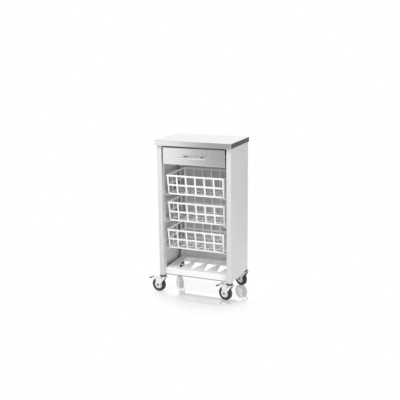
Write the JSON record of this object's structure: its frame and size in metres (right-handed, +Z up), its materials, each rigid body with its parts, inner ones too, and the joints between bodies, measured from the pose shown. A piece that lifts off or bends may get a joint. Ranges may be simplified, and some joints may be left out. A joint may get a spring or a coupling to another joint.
{
  "type": "kitchen trolley",
  "caption": "Kitchen trolley on swivel casters with a steel worktop, a drawer, pull-out lattice baskets and a bottle shelf between folded side panels.",
  "frame": {"origin": "on the floor, under the middle of the cabinet", "axes": "+Z up, +X to the right as seen from the drawer's side, +Y to the back"},
  "size_m": [0.5184, 0.3511, 0.88],
  "materials": {
    "panel_paint": "satin",
    "white_paint": "satin",
    "drawer_paint": "satin",
    "brushed_steel": "brushed",
    "handle_steel": "satin",
    "zinc": "zinc plated",
    "bearing_steel": "polished",
    "race_steel": "black phosphated",
    "trim_plastic": "satin",
    "pedal_steel": "satin",
    "wheel_plastic": "satin",
    "tyre_rubber": "matte",
    "core_board": "raw board"
  },
  "bodies": {
    "cabinet": {"worktop_skin": "brushed_steel", "worktop_core": "core_board", "left_side_panel": "panel_paint", "right_side_panel": "panel_paint", "back_panel": "panel_paint", "front_brace": "panel_paint", "bottle_shelf": "white_paint", "shelf_edge_trim": "trim_plastic", "cabinet_screws": "zinc", "worktop_screws": "zinc", "caster_nut_plates": "zinc", "left_slide_outer": "zinc", "right_slide_outer": "zinc", "upper_left_rail": "zinc", "upper_right_rail": "zinc", "middle_left_rail": "zinc", "middle_right_rail": "zinc", "lower_left_rail": "zinc", "lower_right_rail": "zinc", "front_left_caster_stem": "race_steel", "front_right_caster_stem": "race_steel", "rear_left_caster_stem": "race_steel", "rear_right_caster_stem": "race_steel"},
    "drawer": {"drawer_front": "brushed_steel", "drawer_right_side": "drawer_paint", "drawer_left_side": "drawer_paint", "drawer_bottom": "drawer_paint", "drawer_back": "drawer_paint", "handle_bar": "handle_steel", "handle_posts": "handle_steel", "handle_screws": "zinc", "left_slide_inner": "zinc", "right_slide_inner": "zinc"},
    "slide_middles": {"left_slide_middle": "zinc", "right_slide_middle": "zinc"},
    "upper_basket": {"upper_basket": "white_paint"},
    "middle_basket": {"middle_basket": "white_paint"},
    "lower_basket": {"lower_basket": "white_paint"},
    "front_left_caster": {"front_left_caster_fork": "zinc", "front_left_caster_balls": "bearing_steel", "front_left_axle": "zinc"},
    "front_left_wheel": {"front_left_wheel_core": "wheel_plastic", "front_left_tyre": "tyre_rubber"},
    "front_right_caster": {"front_right_caster_fork": "zinc", "front_right_caster_balls": "bearing_steel", "front_right_axle": "zinc"},
    "front_right_wheel": {"front_right_wheel_core": "wheel_plastic", "front_right_tyre": "tyre_rubber"},
    "rear_left_caster": {"rear_left_caster_fork": "zinc", "rear_left_caster_balls": "bearing_steel", "rear_left_axle": "zinc"},
    "rear_left_wheel": {"rear_left_wheel_core": "wheel_plastic", "rear_left_tyre": "tyre_rubber"},
    "rear_right_caster": {"rear_right_caster_fork": "zinc", "rear_right_caster_balls": "bearing_steel", "rear_right_axle": "zinc"},
    "rear_right_wheel": {"rear_right_wheel_core": "wheel_plastic", "rear_right_tyre": "tyre_rubber"},
    "front_left_brake": {"front_left_brake_pedal": "pedal_steel"},
    "front_right_brake": {"front_right_brake_pedal": "pedal_steel"}
  },
  "joints": [
    {"name": "drawer_slide", "type": "slide", "parent": "cabinet", "child": "drawer", "axis": [0, -1, 0], "range_m": [0, 0.2]},
    {"name": "slide_middle_travel", "type": "slide", "parent": "cabinet", "child": "slide_middles", "axis": [0, -1, 0], "range_m": [0, 0.1]},
    {"name": "upper_basket_slide", "type": "slide", "parent": "cabinet", "child": "upper_basket", "axis": [0, -1, 0], "range_m": [-0.013, 0.15]},
    {"name": "middle_basket_slide", "type": "slide", "parent": "cabinet", "child": "middle_basket", "axis": [0, -1, 0], "range_m": [-0.003, 0.15]},
    {"name": "lower_basket_slide", "type": "slide", "parent": "cabinet", "child": "lower_basket", "axis": [0, -1, 0], "range_m": [-0.017, 0.15]},
    {"name": "front_left_swivel", "type": "hinge", "parent": "cabinet", "child": "front_left_caster", "pos_m": [-0.203, -0.125, 0.0924], "axis": [0, 0, 1], "continuous": true},
    {"name": "front_left_wheel_spin", "type": "hinge", "parent": "front_left_caster", "child": "front_left_wheel", "pos_m": [-0.23089, -0.12256, 0.04], "axis": [0.0872, 0.9962, 0], "continuous": true},
    {"name": "front_right_swivel", "type": "hinge", "parent": "cabinet", "child": "front_right_caster", "pos_m": [0.203, -0.125, 0.0924], "axis": [0, 0, 1], "continuous": true},
    {"name": "front_right_wheel_spin", "type": "hinge", "parent": "front_right_caster", "child": "front_right_wheel", "pos_m": [0.17608, -0.11728, 0.04], "axis": [0.2756, 0.9613, 0], "continuous": true},
    {"name": "rear_left_swivel", "type": "hinge", "parent": "cabinet", "child": "rear_left_caster", "pos_m": [-0.203, 0.125, 0.0924], "axis": [0, 0, 1], "continuous": true},
    {"name": "rear_left_wheel_spin", "type": "hinge", "parent": "rear_left_caster", "child": "rear_left_wheel", "pos_m": [-0.2228, 0.1448, 0.04], "axis": [0.7071, 0.7071, 0], "continuous": true},
    {"name": "rear_right_swivel", "type": "hinge", "parent": "cabinet", "child": "rear_right_caster", "pos_m": [0.203, 0.125, 0.0924], "axis": [0, 0, 1], "continuous": true},
    {"name": "rear_right_wheel_spin", "type": "hinge", "parent": "rear_right_caster", "child": "rear_right_wheel", "pos_m": [0.17762, 0.13683, 0.04], "axis": [0.4226, 0.9063, 0], "continuous": true},
    {"name": "front_left_brake_press", "type": "hinge", "parent": "front_left_caster", "child": "front_left_brake", "pos_m": [-0.24285, -0.12151, 0.085], "axis": [-0.0872, -0.9962, 0], "range_deg": [0, 14]},
    {"name": "front_right_brake_press", "type": "hinge", "parent": "front_right_caster", "child": "front_right_brake", "pos_m": [0.16455, -0.11398, 0.085], "axis": [-0.2756, -0.9613, 0], "range_deg": [0, 14]}
  ],
  "couplings": [
    {"joint": "slide_middle_travel", "follows": "drawer_slide", "ratio": 0.5}
  ]
}
